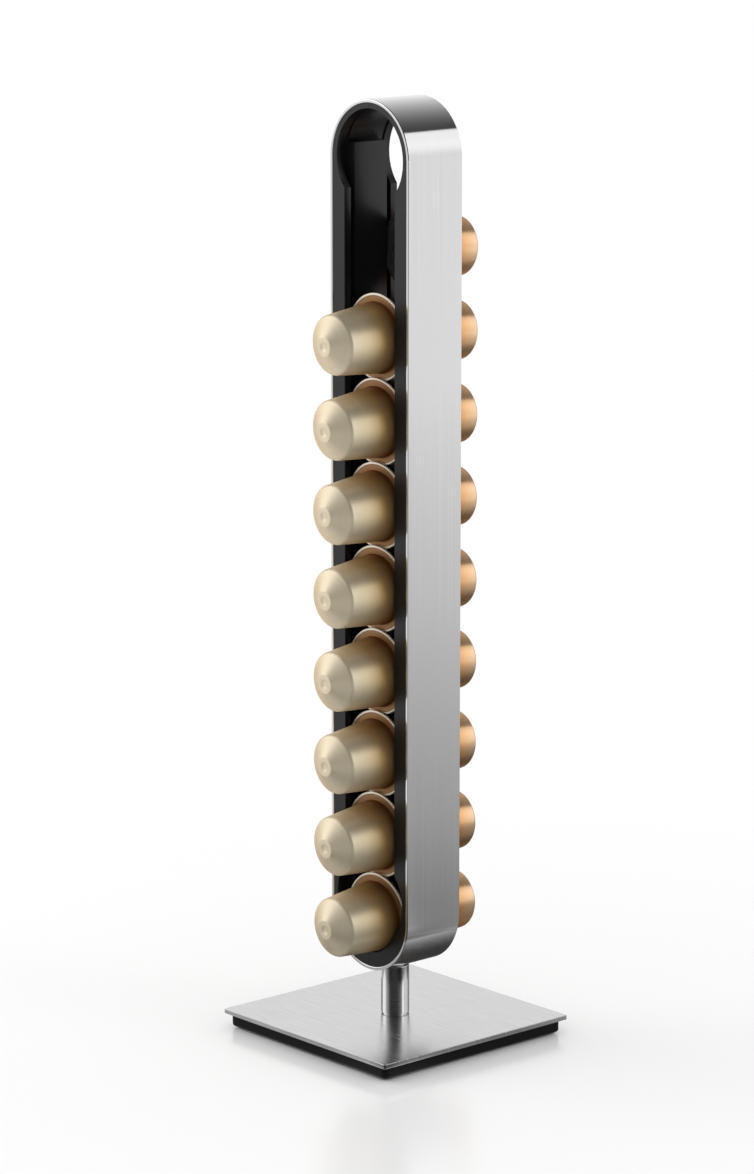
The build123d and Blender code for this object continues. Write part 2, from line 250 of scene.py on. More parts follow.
# Rolled aluminium foil, heat-sealed over the cup: bright, with soft dents
foilFinish, tree, shader = newFinish("rolledAluminiumFoil", {"Metallic": 1.0})
place = addNode(tree, "ShaderNodeAttribute", attribute_name="turnedPlace")
dents = addNode(tree, "ShaderNodeTexNoise", {
    "Vector": place.outputs["Vector"], "Scale": 1 / (lidFoil["dent"] * mm), "Detail": 2.0,
})
dress(tree, shader, dents.outputs["Fac"], lidFoil)

# Finishes with the same grain all over: plastics, castings and fasteners

grainyLooks = {  # grain and the depth of its relief in mm
    # ABS off a smooth mould: black, with a soft gloss
    "mouldedBlackAbs": {
        "pale": "#141415", "dark": "#0C0C0D", "roughness": (0.28, 0.38), "bump": 0.05, "bumpDepth": 0.05,
        "grain": 0.5, "detail": 3.0, "sockets": {"Specular IOR Level": 0.35},
    },
    # ABS off an etched mould: black and nearly dull
    "texturedBlackAbs": {
        "pale": "#151516", "dark": "#0D0D0E", "roughness": (0.42, 0.58), "bump": 0.12, "bumpDepth": 0.05,
        "grain": 0.6, "detail": 3.0, "sockets": {"Specular IOR Level": 0.12},
    },
    # Moulded rubber: dull and a little greyer
    "blackFootRubber": {
        "pale": "#232324", "dark": "#161616", "roughness": (0.75, 0.9), "bump": 0.15, "bumpDepth": 0.05,
        "grain": 0.8, "detail": 3.0, "sockets": {"Specular IOR Level": 0.4},
    },
    # Turned acetal: milky white with a waxy gloss
    "whiteAcetal": {
        "pale": "#E6E3DA", "dark": "#D6D2C7", "roughness": (0.32, 0.45), "bump": 0.04, "bumpDepth": 0.05,
        "grain": 0.8, "detail": 3.0, "sockets": {"Specular IOR Level": 0.5},
    },
    # Cast iron as it leaves the sand: dark, dull and sandy
    "rawCastIron": {
        "pale": "#5A5856", "dark": "#3A3937", "roughness": (0.55, 0.75), "bump": 0.3, "bumpDepth": 0.1,
        "grain": 1.5, "detail": 5.0, "sockets": {"Metallic": 1.0},
    },
    # Die-cast aluminium: pale and dull, with softly flowing marks
    "dieCastAluminium": {
        "pale": "#B4B5B8", "dark": "#94959A", "roughness": (0.40, 0.55), "bump": 0.3, "bumpDepth": 0.1,
        "grain": 1.0, "detail": 5.0, "sockets": {"Metallic": 1.0},
    },
    # Zinc-plated steel: a bluish grey with soft cloudy spangle
    "zincPlatedSteel": {
        "pale": "#BFC0C2", "dark": "#8E9094", "roughness": (0.28, 0.45), "span": (0.0, 1.0),
        "grain": 1.2, "detail": 3.0, "sockets": {"Metallic": 1.0},
    },
}
grainyFinishes = {}
for name, look in grainyLooks.items():
    grainyFinishes[name], tree, shader = newFinish(name, look["sockets"])
    where = addNode(tree, "ShaderNodeTexCoord")
    grain = addNode(tree, "ShaderNodeTexNoise", {
        "Vector": where.outputs["Object"], "Scale": 1 / (look["grain"] * mm), "Detail": look["detail"],
    })
    dress(tree, shader, grain.outputs["Fac"], look)
print("finishes made:", len(bpy.data.materials))


# Node trees

def newTree(name, sizes):  # an empty tree with named inputs, and its input sockets
    tree = bpy.data.node_groups.new(name, "GeometryNodeTree")
    for label, kind in [("Geometry", "Geometry")] + sizes:
        tree.interface.new_socket(label, in_out="INPUT", socket_type="NodeSocket" + kind)
    tree.interface.new_socket("Geometry", in_out="OUTPUT", socket_type="NodeSocketGeometry")
    return tree, addNode(tree, "NodeGroupInput").outputs


def endTree(tree, geometry, finish):  # every tree ends in plain geometry with its finish
    real = addNode(tree, "GeometryNodeRealizeInstances", {"Geometry": geometry})
    dressed = addNode(tree, "GeometryNodeSetMaterial", {
        "Geometry": real.outputs["Geometry"], "Material": finish,
    })
    addNode(tree, "NodeGroupOutput", {"Geometry": dressed.outputs["Geometry"]})


def growMesh(source, tree, values):  # runs the tree on an object's mesh and gives a plain mesh
    modifier = source.modifiers.new(tree.name, "NODES")
    modifier.node_group = tree
    for item in tree.interface.items_tree:
        if item.in_out == "INPUT" and item.name in values:
            modifier[item.identifier] = values[item.name]
    even = source.modifiers.new("evenNormals", "WEIGHTED_NORMAL")  # wide faces shade flat beside small rounds
    even.keep_sharp = True
    mesh = bpy.data.meshes.new_from_object(source.evaluated_get(bpy.context.evaluated_depsgraph_get()))
    source.modifiers.clear()
    return mesh


def chainObject(name, points, rounds=None, closed=False):  # a chain of edges, with a rounding at each point
    mesh = bpy.data.meshes.new(name)
    links = [(i, i + 1) for i in range(len(points) - 1)] + ([(len(points) - 1, 0)] if closed else [])
    mesh.from_pydata(points, links, [])
    if rounds:
        mesh.attributes.new("round", "FLOAT", "POINT").data.foreach_set("value", rounds)
    return addObject(name, mesh)


def placesObject(name, places, turns):  # points that carry the turn of what stands on them
    mesh = bpy.data.meshes.new(name)
    mesh.from_pydata(places, [], [])
    turnNumbers = [number for turn in turns for number in turn]
    mesh.attributes.new("turn", "FLOAT_VECTOR", "POINT").data.foreach_set("vector", turnNumbers)
    return addObject(name, mesh)


def smoothed(tree, mesh, hardAngle):  # smooth faces with hard edges where they meet at more than the angle
    smooth = addNode(tree, "GeometryNodeSetShadeSmooth", {"Geometry": mesh, "Shade Smooth": True})
    angle = addNode(tree, "GeometryNodeInputMeshEdgeAngle")
    hard = addNode(tree, "FunctionNodeCompare", {0: angle.outputs["Unsigned Angle"], 1: hardAngle})
    return addNode(tree, "GeometryNodeSetShadeSmooth", {
        "Geometry": smooth.outputs["Geometry"], "Selection": hard.outputs["Result"], "Shade Smooth": False,
    }, domain="EDGE").outputs["Geometry"]


# A half outline, rounded at its corners and turned round its axis, stood on every place
turnedTree, given = newTree("turnedPieces", [
    ("Segments", "Int"), ("Corner Steps", "Int"), ("Sharp Angle", "Float"),
    ("Places", "Object"), ("Finish", "Material"),
])
core = 1  # mm, the outline is drawn this much nearer the axis, because the circle adds it
outline = addNode(turnedTree, "GeometryNodeMeshToCurve", {"Mesh": given["Geometry"]})
cornerRound = addNode(turnedTree, "GeometryNodeInputNamedAttribute", {"Name": "round"}, data_type="FLOAT")
rounded = addNode(turnedTree, "GeometryNodeFilletCurve", {
    "Curve": outline.outputs["Curve"], "Count": given["Corner Steps"],
    "Radius": cornerRound.outputs["Attribute"], "Limit Radius": True,
}, mode="POLY")
spline = addNode(turnedTree, "GeometryNodeSplineParameter")
measured = addNode(turnedTree, "GeometryNodeStoreNamedAttribute", {
    "Geometry": rounded.outputs["Curve"], "Name": "along", "Value": spline.outputs["Length"],
}, data_type="FLOAT", domain="POINT")
circle = addNode(turnedTree, "GeometryNodeCurvePrimitiveCircle", {
    "Resolution": given["Segments"], "Radius": core * mm,
})
marked = addNode(turnedTree, "GeometryNodeStoreNamedAttribute", {
    "Geometry": circle.outputs["Curve"], "Name": "around", "Value": spline.outputs["Factor"],
}, data_type="FLOAT", domain="POINT")
spun = addNode(turnedTree, "GeometryNodeCurveToMesh", {
    "Curve": marked.outputs["Geometry"], "Profile Curve": measured.outputs["Geometry"], "Fill Caps": False,
})
along = addNode(turnedTree, "GeometryNodeInputNamedAttribute", {"Name": "along"}, data_type="FLOAT")
around = addNode(turnedTree, "GeometryNodeInputNamedAttribute", {"Name": "around"}, data_type="FLOAT")
position = addNode(turnedTree, "GeometryNodeInputPosition")
local = addNode(turnedTree, "ShaderNodeSeparateXYZ", {0: position.outputs["Position"]})
turnedPlace = addNode(turnedTree, "ShaderNodeCombineXYZ", {
    "X": local.outputs["X"], "Y": local.outputs["Y"], "Z": along.outputs["Attribute"],
})
placed = addNode(turnedTree, "GeometryNodeStoreNamedAttribute", {
    "Geometry": spun.outputs["Mesh"], "Name": "turnedPlace", "Value": turnedPlace.outputs["Vector"],
}, data_type="FLOAT_VECTOR", domain="POINT")
flat = addNode(turnedTree, "ShaderNodeCombineXYZ", {
    "X": along.outputs["Attribute"], "Y": around.outputs["Attribute"],
})
unwrapped = addNode(turnedTree, "GeometryNodeStoreNamedAttribute", {
    "Geometry": placed.outputs["Geometry"], "Name": "UVMap", "Value": flat.outputs["Vector"],
}, data_type="FLOAT2", domain="CORNER")
closed = addNode(turnedTree, "GeometryNodeMergeByDistance", {
    "Geometry": unwrapped.outputs["Geometry"], "Distance": mergeGap,
})
shaded = smoothed(turnedTree, closed.outputs["Geometry"], given["Sharp Angle"])
stands = addNode(turnedTree, "GeometryNodeObjectInfo", {"Object": given["Places"]})
turn = addNode(turnedTree, "GeometryNodeInputNamedAttribute", {"Name": "turn"}, data_type="FLOAT_VECTOR")
turnRotation = addNode(turnedTree, "FunctionNodeEulerToRotation", {0: turn.outputs["Attribute"]})
standing = addNode(turnedTree, "GeometryNodeInstanceOnPoints", {
    "Points": stands.outputs["Geometry"], "Instance": shaded, "Rotation": turnRotation.outputs["Rotation"],
})
endTree(turnedTree, standing.outputs["Instances"], given["Finish"])


def turnPiece(name, outlinePoints, places, turns, finish, segments=96, steps=5):
    # the outline's points are radius, height and rounding in mm
    points = [((radius - core) * mm, -height * mm, 0) for radius, height, _ in outlinePoints]
    drawn = chainObject(name + "Outline", points, [rounding * mm for _, _, rounding in outlinePoints])
    stood = placesObject(name + "Places", places, turns)
    mesh = growMesh(drawn, turnedTree, {
        "Segments": segments, "Corner Steps": steps, "Sharp Angle": sharpAngle,
        "Places": stood, "Finish": finish,
    })
    bpy.data.objects.remove(drawn)
    bpy.data.objects.remove(stood)
    mesh.name = name
    return addObject(name, mesh)


# A strip bent round a closed path, with holes cut by the cutters
bandTree, given = newTree("bentStrip", [
    ("Thickness", "Float"), ("Width", "Float"), ("Edge Round", "Float"), ("Edge Steps", "Int"),
    ("Sharp Angle", "Float"), ("Cutters", "Object"), ("Finish", "Material"),
])
path = addNode(bandTree, "GeometryNodeMeshToCurve", {"Mesh": given["Geometry"]})
spline = addNode(bandTree, "GeometryNodeSplineParameter")
paced = addNode(bandTree, "GeometryNodeStoreNamedAttribute", {
    "Geometry": path.outputs["Curve"], "Name": "along", "Value": spline.outputs["Length"],
}, data_type="FLOAT", domain="POINT")
section = addNode(bandTree, "GeometryNodeCurvePrimitiveQuadrilateral", {
    "Width": given["Thickness"], "Height": given["Width"],
})
eased = addNode(bandTree, "GeometryNodeFilletCurve", {
    "Curve": section.outputs["Curve"], "Count": given["Edge Steps"], "Radius": given["Edge Round"],
    "Limit Radius": True,
}, mode="POLY")
position = addNode(bandTree, "GeometryNodeInputPosition")
local = addNode(bandTree, "ShaderNodeSeparateXYZ", {0: position.outputs["Position"]})
girth = addNode(bandTree, "ShaderNodeMath", {0: local.outputs["X"], 1: local.outputs["Y"]}, operation="ADD")
across = addNode(bandTree, "GeometryNodeStoreNamedAttribute", {
    "Geometry": eased.outputs["Curve"], "Name": "across", "Value": girth.outputs[0],
}, data_type="FLOAT", domain="POINT")
bent = addNode(bandTree, "GeometryNodeCurveToMesh", {
    "Curve": paced.outputs["Geometry"], "Profile Curve": across.outputs["Geometry"], "Fill Caps": False,
})
along = addNode(bandTree, "GeometryNodeInputNamedAttribute", {"Name": "along"}, data_type="FLOAT")
over = addNode(bandTree, "GeometryNodeInputNamedAttribute", {"Name": "across"}, data_type="FLOAT")
flat = addNode(bandTree, "ShaderNodeCombineXYZ", {
    "X": over.outputs["Attribute"], "Y": along.outputs["Attribute"],
})
unwrapped = addNode(bandTree, "GeometryNodeStoreNamedAttribute", {
    "Geometry": bent.outputs["Mesh"], "Name": "UVMap", "Value": flat.outputs["Vector"],
}, data_type="FLOAT2", domain="CORNER")
joined = addNode(bandTree, "GeometryNodeMergeByDistance", {
    "Geometry": unwrapped.outputs["Geometry"], "Distance": mergeGap,
})
upright = addNode(bandTree, "GeometryNodeTransform", {
    "Geometry": joined.outputs["Geometry"], "Rotation": (math.radians(90), 0, 0),
})
cutters = addNode(bandTree, "GeometryNodeObjectInfo", {"Object": given["Cutters"]})
drilled = addNode(bandTree, "GeometryNodeMeshBoolean", {
    "Mesh 1": upright.outputs["Geometry"], "Mesh 2": cutters.outputs["Geometry"],
}, operation="DIFFERENCE", solver="EXACT")
endTree(bandTree, smoothed(bandTree, drilled.outputs["Mesh"], given["Sharp Angle"]), given["Finish"])
print("node trees made:", len(bpy.data.node_groups))

# Steel band

band = {
    "thickness": 1.5, "edgeRound": 0.4, "screwHead": 1.9,  # mm, the last a radius
    "edgeSteps": 6, "arcSteps": 72, "cutSegments": 48,
    "bushCut": (4.1, 4.1, 0.75, 4.0),  # mm: lower and upper radius, height of the middle, depth
    "sinkCut": (2.45, 1.05, 0.2, 1.4),
    "screwCut": (1.05, 1.05, 1.2, 2.0),
}
bandLow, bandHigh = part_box("steel_band")
bandRadius = bandHigh.x - band["thickness"] * mm / 2
lowerCentre = bandLow.z + bandHigh.x
upperCentre = bandHigh.z - bandHigh.x
arcAngles = [math.pi * i / band["arcSteps"] for i in range(band["arcSteps"] // 2 + 1)]
quarter = [(bandRadius * math.sin(angle), bandRadius * -math.cos(angle)) for angle in arcAngles]
rightSide = [(x, lowerCentre + z, 0) for x, z in quarter]
rightSide += [(x, upperCentre - z, 0) for x, z in reversed(quarter)]
leftSide = [(-x, z, 0) for x, z, _ in reversed(rightSide)][1:-1]
bandPath = rightSide + leftSide  # from the bottom middle, round by the right
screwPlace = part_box("saddle_screws")[1].y - band["screwHead"] * mm
cuts = [(0, band["bushCut"])]
cuts += [(side * screwPlace, band[cut]) for cut in ("sinkCut", "screwCut") for side in (-1, 1)]
cutterMesh = bmesh.new()
for y, (lowRadius, highRadius, height, depth) in cuts:
    bmesh.ops.create_cone(
        cutterMesh, cap_ends=True, segments=band["cutSegments"],
        radius1=lowRadius * mm, radius2=highRadius * mm, depth=depth * mm,
        matrix=Matrix.Translation((0, y, bandLow.z + height * mm)),
    )
cutterData = bpy.data.meshes.new("bandCutters")
cutterMesh.to_mesh(cutterData)
cutterMesh.free()
bandCutters = addObject("bandCutters", cutterData)
bandSource = chainObject("bandPath", bandPath, closed=True)
bandMesh = growMesh(bandSource, bandTree, {
    "Thickness": band["thickness"] * mm, "Width": bandHigh.y - bandLow.y,
    "Edge Round": band["edgeRound"] * mm, "Edge Steps": band["edgeSteps"], "Sharp Angle": sharpAngle,
    "Cutters": bandCutters, "Finish": steelFinishes["brushedStainlessStrip"],
})
bpy.data.objects.remove(bandSource)
bpy.data.objects.remove(bandCutters)
bandMesh.name = "steelBand"
steelBand = addObject("steelBand", bandMesh)
standFor(steelBand, "steel_band")
print("band:", len(bandMesh.polygons), "faces")

# Capsules

capsule = {
    "rimThickness": 1.1, "rimGap": 0.25, "lidThickness": 0.2, "height": 30.2, "noseRadius": 4.1,  # mm
    "cup": [  # radius, height above the lid, rounding
        (0, 29.85, 0), (1.0, 29.85, 0.9), (2.2, 30.2, 1.2), (4.1, 30.2, 0.9), (12.6, 25.3, 1.6),
        (15, 0.85, 0.45), (17.2, 0.85, 0.2), (17.5, 1.1, 0.2), (18.5, 1.1, 0.42), (18.5, 0.2, 0.4),
        (14.3, 0.2, 0), (11.9, 24.6, 0.8), (4.1, 29, 0.5), (0, 29, 0),
    ],
    "lid": [(0, 0.2, 0), (18.2, 0.2, 0), (18.2, 0, 0.08), (14.3, 0, 0.2), (9.5, -0.28, 8), (0, -0.5, 0)],
}
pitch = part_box("rear_capsule_2_cup")[0].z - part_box("rear_capsule_1_cup")[0].z
rimStep = (capsule["rimThickness"] + capsule["rimGap"]) * mm
droop = math.asin(rimStep / pitch)  # each rim leans on the one below
capsuleCount = 0
for body in frame["bodies"]:
    if "_capsule_" not in body:
        continue
    column, _, number = body.split("_")
    facing = -1 if column == "front" else 1
    metal = "goldAnodisedAluminium" if column == "front" else "copperAnodisedAluminium"
    low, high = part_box(body + "_cup")
    reach = max(abs(low.y), abs(high.y))  # how far the nose stands out
    depth = capsule["height"] * mm * math.cos(droop)
    lidY = facing * (reach - depth - capsule["noseRadius"] * mm * math.sin(droop))
    lidZ = (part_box(body + "_lid")[0].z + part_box(body + "_lid")[1].z) / 2
    lidZ += (capsule["lidThickness"] / 2) * mm * math.sin(droop)
    turn = (-facing * (math.pi / 2 + droop), 0, 0)
    for end, points, finish, slot in (
        ("Cup", capsule["cup"], cupFinishes[metal], cupMetals[metal]["slot"]),
        ("Lid", capsule["lid"], foilFinish, "lid_foil"),
    ):
        piece = turnPiece(column + "Capsule" + number + end, points, [(0, lidY, lidZ)], [turn], finish)
        standFor(piece, body + "_" + end.lower())
    capsuleCount += 1
print("capsules:", capsuleCount, "with", len(piece.data.polygons), "faces on each lid")

# Post and feet

post = {
    "radius": 6.0, "edge": 0.4, "grooveDepth": 0.5, "grooveHeight": 0.5, "grooveEdge": 0.15,  # mm
    "boltHole": 3.05, "boltDepth": 8.05, "threadHole": 2.05, "threadDepth": 6.55, "holeEdge": 0.1,
}
postLow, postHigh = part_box("post")
foot, head = postLow.z / mm, postHigh.z / mm
waist, grooveTop = post["radius"] - post["grooveDepth"], foot + post["grooveHeight"]
threadEnd, boltEnd = head - post["threadDepth"], foot + post["boltDepth"]
postOutline = [
    (0, threadEnd, 0), (post["threadHole"], threadEnd, 0), (post["threadHole"], head, post["holeEdge"]),
    (post["radius"], head, post["edge"]), (post["radius"], grooveTop, post["grooveEdge"]),
    (waist, grooveTop, 0), (waist, foot, 0),
    (post["boltHole"], foot, 0), (post["boltHole"], boltEnd, 0), (0, boltEnd, 0),
]
postPiece = turnPiece("postRod", postOutline, [(0, 0, 0)], [(0, 0, 0)], postFinish)
standFor(postPiece, "post")

feet = {
    "radius": 5.0, "edge": 0.25, "hollow": 0.15, "hollowEdge": 0.1,  # mm
    "hollowShare": (0.6, 0.55), "segments": 64,  # of the radius, at the mouth and at the floor of the hollow
}
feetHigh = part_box("rubber_feet")[1]
footPlace = feetHigh.x - feet["radius"] * mm
footOutline = [
    (0, feetHigh.z / mm, 0), (feet["radius"], feetHigh.z / mm, 0), (feet["radius"], 0, feet["edge"]),
    (feet["radius"] * feet["hollowShare"][0], 0, 0),
    (feet["radius"] * feet["hollowShare"][1], feet["hollow"], feet["hollowEdge"]), (0, feet["hollow"], 0),
]
footPlaces = [(x * footPlace, y * footPlace, 0) for x in (-1, 1) for y in (-1, 1)]
feetPiece = turnPiece("rubberFeet", footOutline, footPlaces, [(0, 0, 0)] * len(footPlaces),
                      grainyFinishes["blackFootRubber"], feet["segments"])
standFor(feetPiece, "rubber_feet")
print("post and feet made")

# Plate, tray and track liners: the CAD shapes with their edges eased

easing = {
    "edgeAngle": math.radians(35), "flatAngle": math.radians(0.3), "segments": 2,
    "uvSlant": (0.3, 0.2),  # keeps the pattern from smearing down upright faces
}
easedPieces = {  # CAD node: piece name, finish, record slot, bevel in mm
    "base_plate": ("basePlate", steelFinishes["brushedStainlessSheet"], "brushed_steel", 0.25),
    "base_tray": ("baseTray", grainyFinishes["texturedBlackAbs"], "tray_plastic", 0.3),
    "left_track_liner": ("leftTrackLiner", grainyFinishes["mouldedBlackAbs"], "track_plastic", 0.2),
    "right_track_liner": ("rightTrackLiner", grainyFinishes["mouldedBlackAbs"], "track_plastic", 0.2),
}
for node, (name, finish, slot, bevel) in easedPieces.items():
    mesh = bpy.data.meshes.new(name)
    work = bmesh.new()
    work.from_mesh(frame["nodes"][node].data)
    bmesh.ops.remove_doubles(work, verts=work.verts, dist=mergeGap)
    bmesh.ops.dissolve_limit(work, angle_limit=easing["flatAngle"], verts=work.verts, edges=work.edges)
    work.to_mesh(mesh)
    work.free()
    mesh.materials.clear()
    mesh.materials.append(finish)
    mesh.polygons.foreach_set("use_smooth", [True] * len(mesh.polygons))
    mesh.set_sharp_from_angle(angle=easing["edgeAngle"])
    piece = addObject(name, mesh)
    ease = piece.modifiers.new("easedEdges", "BEVEL")
    ease.width = bevel * mm
    ease.segments = easing["segments"]
    ease.limit_method = "ANGLE"
    ease.angle_limit = easing["edgeAngle"]
    ease.harden_normals = True
    piece.data = bpy.data.meshes.new_from_object(piece.evaluated_get(bpy.context.evaluated_depsgraph_get()))
    piece.modifiers.clear()
    layer = piece.data.uv_layers.get("UVMap") or piece.data.uv_layers.new(name="UVMap")
    slantX, slantY = easing["uvSlant"]
    for loop in piece.data.loops:  # seen from above, in metres
        spot = piece.data.vertices[loop.vertex_index].co
        layer.data[loop.index].uv = (spot.x + slantX * spot.z, spot.y + slantY * spot.z)
    standFor(piece, node)
    print(name + ":", len(piece.data.polygons), "faces")

# Pieces inside that keep their CAD shape

innerPieces = {
    "ballast_plate": "rawCastIron", "pivot_saddle": "dieCastAluminium",
    "base_washer": "zincPlatedSteel", "base_bolt": "zincPlatedSteel",
    "swivel_bolt": "zincPlatedSteel", "saddle_screws": "zincPlatedSteel",
    "swivel_bush": "whiteAcetal", "swivel_washer": "whiteAcetal",
}
for node, finish in innerPieces.items():
    inner = frame["nodes"][node]
    if not inner.material_slots:
        inner.data.materials.append(grainyFinishes[finish])
    for held in inner.material_slots:
        held.material = grainyFinishes[finish]
print("inner pieces dressed:", len(innerPieces))

# Camera at the photograph's angle

camera = {  # degrees, metres from the swivel axis and the floor, and the lens in mm
    "yaw": 48.611, "pitch": 11.692, "distance": 1.79335, "aside": -0.00778, "height": 0.19367,
    "lens": 131.294, "clip": (0.05, 60),
}
yaw, pitchDown = math.radians(camera["yaw"]), math.radians(camera["pitch"])
sideways = Vector((math.cos(yaw), math.sin(yaw), 0))
level = math.cos(pitchDown)
towards = Vector((math.sin(yaw) * level, -math.cos(yaw) * level, math.sin(pitchDown)))
lensData = bpy.data.cameras.new("photoCamera")
lensData.lens = camera["lens"]
lensData.clip_start, lensData.clip_end = camera["clip"]
photoCamera = addObject("photoCamera", lensData)
aim = sideways * camera["aside"] + Vector((0, 0, camera["height"]))
photoCamera.location = aim + towards * camera["distance"]
photoCamera.rotation_mode = "QUATERNION"
photoCamera.rotation_quaternion = towards.to_track_quat("Z", "Y")
scene.camera = photoCamera


def facingLevel(tree, direction, towards, spread, low, high):  # eases from low to high as it turns towards
    facing = addNode(tree, "ShaderNodeVectorMath", {0: direction, 1: towards}, operation="DOT_PRODUCT")
    return addNode(tree, "ShaderNodeMapRange", {
        "Value": facing.outputs["Value"], "From Min": spread[0], "From Max": spread[1],
        "To Min": low, "To Max": high,
    }, interpolation_type="SMOOTHSTEP").outputs["Result"]


def mirrorRays(tree):  # the ray's kinds, and 1 where metal or glass looks
    ray = addNode(tree, "ShaderNodeLightPath")
    sharp = addNode(tree, "ShaderNodeMath", {
        0: ray.outputs["Is Glossy Ray"], 1: ray.outputs["Is Transmission Ray"],
    }, operation="MAXIMUM")
    return ray.outputs, sharp.outputs[0]


# Floor: white, with the object's soft shadow; mirrors see a painted shadow on it, darker close to the object

floor = {
    "radius": 12.0, "segments": 96, "colour": "#FFFFFF", "sheen": 0.2, "sheenIndex": 1.6,
    "shadowReach": (0.15, 0.46),  # metres from the middle
    "mirror": [  # metres from the middle and level, to the right and behind: a painted shadow, darker close to the object
        (0.05, 0.76), (0.084, 0.72), (0.092, 0.29), (0.24, 0.32), (0.4, 0.46), (0.93, 0.72), (1.8, 0.98),
    ],
    "mirrorTowards": (0.745, 0.667, 0), "mirrorSpread": (0.2, 0.7), "mirrorElsewhere": 0.95,
}
# Painted shade and painted glow on the floor in mirrors: direction, how near to it they begin and are full,
# level, and the metres from the middle between which they set in (reach) and fade away (until)
floorShades = {
    "camera": {
        "towards": (0.75, -0.661, 0), "spread": (0.03, 0.8), "level": 0.04,
        "reach": (0.066, 0.08), "until": (0.5, 0.2),
    },
    "cameraFar": {"towards": (0.75, -0.661, 0), "spread": (0.03, 0.8), "level": 0.33, "reach": (0.2, 0.5)},
    "front": {"towards": (-0.6, -0.8, 0), "spread": (0.3, 0.8), "level": 0.5, "until": (0.4, 0.13)},
    "back": {"towards": (-0.26, 0.966, 0), "spread": (0.76, 0.84), "level": 0.45, "until": (0.6, 0.45)},
    "rightGlow": {"towards": (0.545, 0.839, 0), "spread": (0.968, 0.99), "level": 1.2},
    "rightFront": {
        "towards": (0.94, 0.342, 0), "spread": (0.964, 0.985), "level": 2.6, "reach": (0.07, 0.16),
    },
    "rightStrip": {"towards": (0.92, 0.392, 0), "spread": (0.5, 0.9), "level": 0.4, "until": (0.092, 0.084)},
}
floorMesh = bmesh.new()
bmesh.ops.create_circle(floorMesh, cap_ends=True, segments=floor["segments"], radius=floor["radius"])
floorData = bpy.data.meshes.new("paleFloor")
floorMesh.to_mesh(floorData)
floorMesh.free()
paleFloor = addObject("paleFloor", floorData)
floorFinish = bpy.data.materials.new("paleStudioFloor")
floorFinish.use_nodes = True
tree = floorFinish.node_tree
tree.nodes.clear()
where = addNode(tree, "ShaderNodeTexCoord")
far = addNode(tree, "ShaderNodeVectorMath", {0: where.outputs["Object"]}, operation="LENGTH").outputs["Value"]
fade = addNode(tree, "ShaderNodeMapRange", {
    "Value": far, "From Min": floor["shadowReach"][0], "From Max": floor["shadowReach"][1],
}, interpolation_type="SMOOTHSTEP")
matt = addNode(tree, "ShaderNodeBsdfPrincipled", {
    "Base Color": toLinear(floor["colour"]), "Roughness": floor["sheen"], "IOR": floor["sheenIndex"],
})
white = addNode(tree, "ShaderNodeEmission", {"Color": (1, 1, 1, 1), "Strength": 1.0})
seen = addNode(tree, "ShaderNodeMixShader", {
    0: fade.outputs["Result"], 1: matt.outputs["BSDF"], 2: white.outputs["Emission"],
})
mirrorReach = floor["mirror"][-1][0]
distance = addNode(tree, "ShaderNodeMath", {0: far, 1: mirrorReach}, operation="DIVIDE")
# painted shadow that mirrors see on the floor, by the distance from the middle
paintedMirrorShadow = addNode(tree, "ShaderNodeValToRGB", {0: distance.outputs[0]})
fillRamp(paintedMirrorShadow.color_ramp, [
    (metres / mirrorReach, [level] * 3 + [1]) for metres, level in floor["mirror"]
])
outward = addNode(tree, "ShaderNodeVectorMath", {
    0: where.outputs["Object"],
}, operation="NORMALIZE").outputs["Vector"]
paintedShadeAndGlow = None
for shade in floorShades.values():
    change = facingLevel(tree, outward, shade["towards"], shade["spread"], 0.0, 1 - shade["level"])
    for edge in [shade[key] for key in ("reach", "until") if key in shade]:
        within = addNode(tree, "ShaderNodeMapRange", {
            "Value": far, "From Min": edge[0], "From Max": edge[1],
        }, interpolation_type="SMOOTHSTEP")
        change = addNode(tree, "ShaderNodeMath", {
            0: change, 1: within.outputs["Result"],
        }, operation="MULTIPLY").outputs[0]
    kept = addNode(tree, "ShaderNodeMath", {0: 1.0, 1: change}, operation="SUBTRACT").outputs[0]
    if paintedShadeAndGlow:
        kept = addNode(tree, "ShaderNodeMath", {0: paintedShadeAndGlow, 1: kept}, operation="MULTIPLY").outputs[0]
    paintedShadeAndGlow = kept
around = addNode(tree, "ShaderNodeMix", {
    "Factor": facingLevel(tree, outward, floor["mirrorTowards"], floor["mirrorSpread"], 0.0, 1.0),
    6: [floor["mirrorElsewhere"]] * 3 + [1], 7: paintedMirrorShadow.outputs["Color"],
}, data_type="RGBA")
# emission that only mirrors see: the floor's painted shadow, painted shade and painted glow
mirrorLight = addNode(tree, "ShaderNodeEmission", {"Color": around.outputs[2], "Strength": paintedShadeAndGlow})
ray, sharpRay = mirrorRays(tree)
result = addNode(tree, "ShaderNodeMixShader", {
    0: sharpRay, 1: seen.outputs["Shader"], 2: mirrorLight.outputs["Emission"],
})
addNode(tree, "ShaderNodeOutputMaterial", {"Surface": result.outputs["Shader"]})
floorData.materials.append(floorFinish)

# Surroundings: white to the camera, an even dome to matt surfaces, a studio with a dark ceiling to metal

